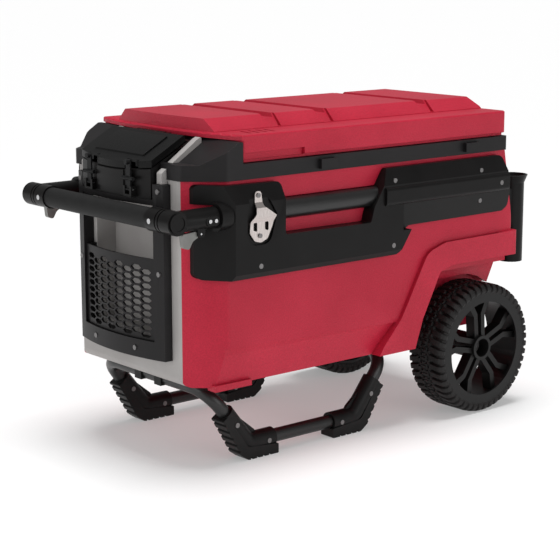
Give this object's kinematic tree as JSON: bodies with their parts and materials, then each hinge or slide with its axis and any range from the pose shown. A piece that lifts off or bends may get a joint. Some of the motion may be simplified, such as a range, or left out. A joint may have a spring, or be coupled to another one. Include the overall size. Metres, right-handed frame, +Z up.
{
  "type": "wheeled cooler chest",
  "caption": "Insulated cooler chest with big rear wheels, a sliding pull bar, skid hoops, a hinged lid, a latched dry box and a mesh pocket.",
  "frame": {"origin": "on the floor, under the middle of the whole chest's bounding box", "axes": "+X towards the wheels, -X towards the pull handle, -Y is the side with the bottle opener, +Z up"},
  "size_m": [0.914, 0.4728, 0.605],
  "materials": {
    "red_plastic": "fine-grained moulded polyethylene",
    "grey_plastic": "fine-grained moulded plastic",
    "charcoal_plastic": "grained moulded plastic",
    "black_plastic": "grained moulded plastic",
    "liner_plastic": "smooth moulded plastic",
    "foam": "closed-cell foam",
    "seal_rubber": "soft seal",
    "latch_rubber": "moulded rubber",
    "grip_rubber": "soft grip",
    "tyre_rubber": "solid tread",
    "rim_plastic": "satin moulded plastic",
    "black_tube": "powder coat",
    "foot_plastic": "grained moulded plastic",
    "arm_aluminium": "dark anodised",
    "opener_steel": "brushed stainless",
    "screw_steel": "dark zinc plated",
    "pin_steel": "bright steel",
    "lever_plastic": "satin moulded plastic"
  },
  "bodies": {
    "chest": {"body_shell": "red_plastic", "front_bulkhead": "grey_plastic", "trim_strips": "grey_plastic", "insulation_foam": "foam", "tub_liner": "liner_plastic", "collar": "charcoal_plastic", "side_panel_left": "black_plastic", "side_panel_right": "black_plastic", "dry_box": "black_plastic", "front_frame": "charcoal_plastic", "mesh_pocket": "charcoal_plastic", "tie_down_loops": "black_plastic", "latch_pins": "pin_steel", "dry_box_hinge_pin": "pin_steel", "lid_hinge_pins": "pin_steel", "body_hinge_leaves": "black_plastic", "guide_tubes": "black_tube", "guide_bushes": "black_plastic", "bottle_opener": "opener_steel", "panel_screws": "screw_steel", "frame_screws": "screw_steel", "foot_screws": "screw_steel", "rod_holder_left": "black_plastic", "rod_holder_right": "black_plastic", "front_hoop": "black_tube", "rear_hoop": "black_tube", "runner_tubes": "black_tube", "foot_front_left": "foot_plastic", "foot_front_right": "foot_plastic", "foot_rear_left": "foot_plastic", "foot_rear_right": "foot_plastic", "hoop_clamps": "foot_plastic", "axle": "pin_steel", "axle_brackets": "black_tube", "axle_nuts": "screw_steel", "drain_plug": "black_plastic"},
    "lid": {"lid_shell": "red_plastic", "lid_foam": "foam", "lid_inner_panel": "liner_plastic", "lid_gasket": "seal_rubber", "lid_hinge_leaves": "black_plastic"},
    "dry_lid": {"dry_box_lid": "black_plastic", "dry_box_gasket": "seal_rubber"},
    "latch_strap_left": {"latch_left": "latch_rubber"},
    "latch_strap_right": {"latch_right": "latch_rubber"},
    "handle": {"handle_arm_left": "arm_aluminium", "handle_arm_right": "arm_aluminium", "crossbar_tube": "arm_aluminium", "grip_sleeve": "grip_rubber", "handle_elbow_left": "black_plastic", "handle_elbow_right": "black_plastic", "handle_caps": "black_plastic", "handle_rivets": "pin_steel", "trigger_pins": "pin_steel"},
    "trigger_paddle_left": {"trigger_left": "lever_plastic"},
    "trigger_paddle_right": {"trigger_right": "lever_plastic"},
    "wheel_left": {"rim_left": "rim_plastic", "tyre_left": "tyre_rubber"},
    "wheel_right": {"rim_right": "rim_plastic", "tyre_right": "tyre_rubber"}
  },
  "joints": [
    {"name": "lid_hinge", "type": "hinge", "parent": "chest", "child": "lid", "pos_m": [0.374, 0, 0.541], "axis": [0, 1, 0], "range_deg": [0, 95]},
    {"name": "dry_lid_hinge", "type": "hinge", "parent": "chest", "child": "dry_lid", "pos_m": [-0.3255, 0, 0.574], "axis": [0, 1, 0], "range_deg": [0, 80]},
    {"name": "handle_slide", "type": "slide", "parent": "chest", "child": "handle", "axis": [-1, 0, 0], "range_m": [0, 0.32]},
    {"name": "latch_hinge_left", "type": "hinge", "parent": "chest", "child": "latch_strap_left", "pos_m": [-0.4175, -0.059, 0.488], "axis": [0, -1, 0], "range_deg": [0, 75]},
    {"name": "trigger_hinge_left", "type": "hinge", "parent": "handle", "child": "trigger_paddle_left", "pos_m": [-0.3835, -0.207, 0.4275], "axis": [0, 1, 0], "range_deg": [0, 12], "stiffness_Nm_per_rad": 0.3, "springref_deg": -8.59},
    {"name": "wheel_spin_left", "type": "hinge", "parent": "chest", "child": "wheel_left", "pos_m": [0.2955, -0.188, 0.127], "axis": [0, 1, 0], "continuous": true},
    {"name": "latch_hinge_right", "type": "hinge", "parent": "chest", "child": "latch_strap_right", "pos_m": [-0.4175, 0.059, 0.488], "axis": [0, -1, 0], "range_deg": [0, 75]},
    {"name": "trigger_hinge_right", "type": "hinge", "parent": "handle", "child": "trigger_paddle_right", "pos_m": [-0.3835, 0.207, 0.4275], "axis": [0, 1, 0], "range_deg": [0, 12], "stiffness_Nm_per_rad": 0.3, "springref_deg": -8.59},
    {"name": "wheel_spin_right", "type": "hinge", "parent": "chest", "child": "wheel_right", "pos_m": [0.2955, 0.188, 0.127], "axis": [0, 1, 0], "continuous": true}
  ]
}
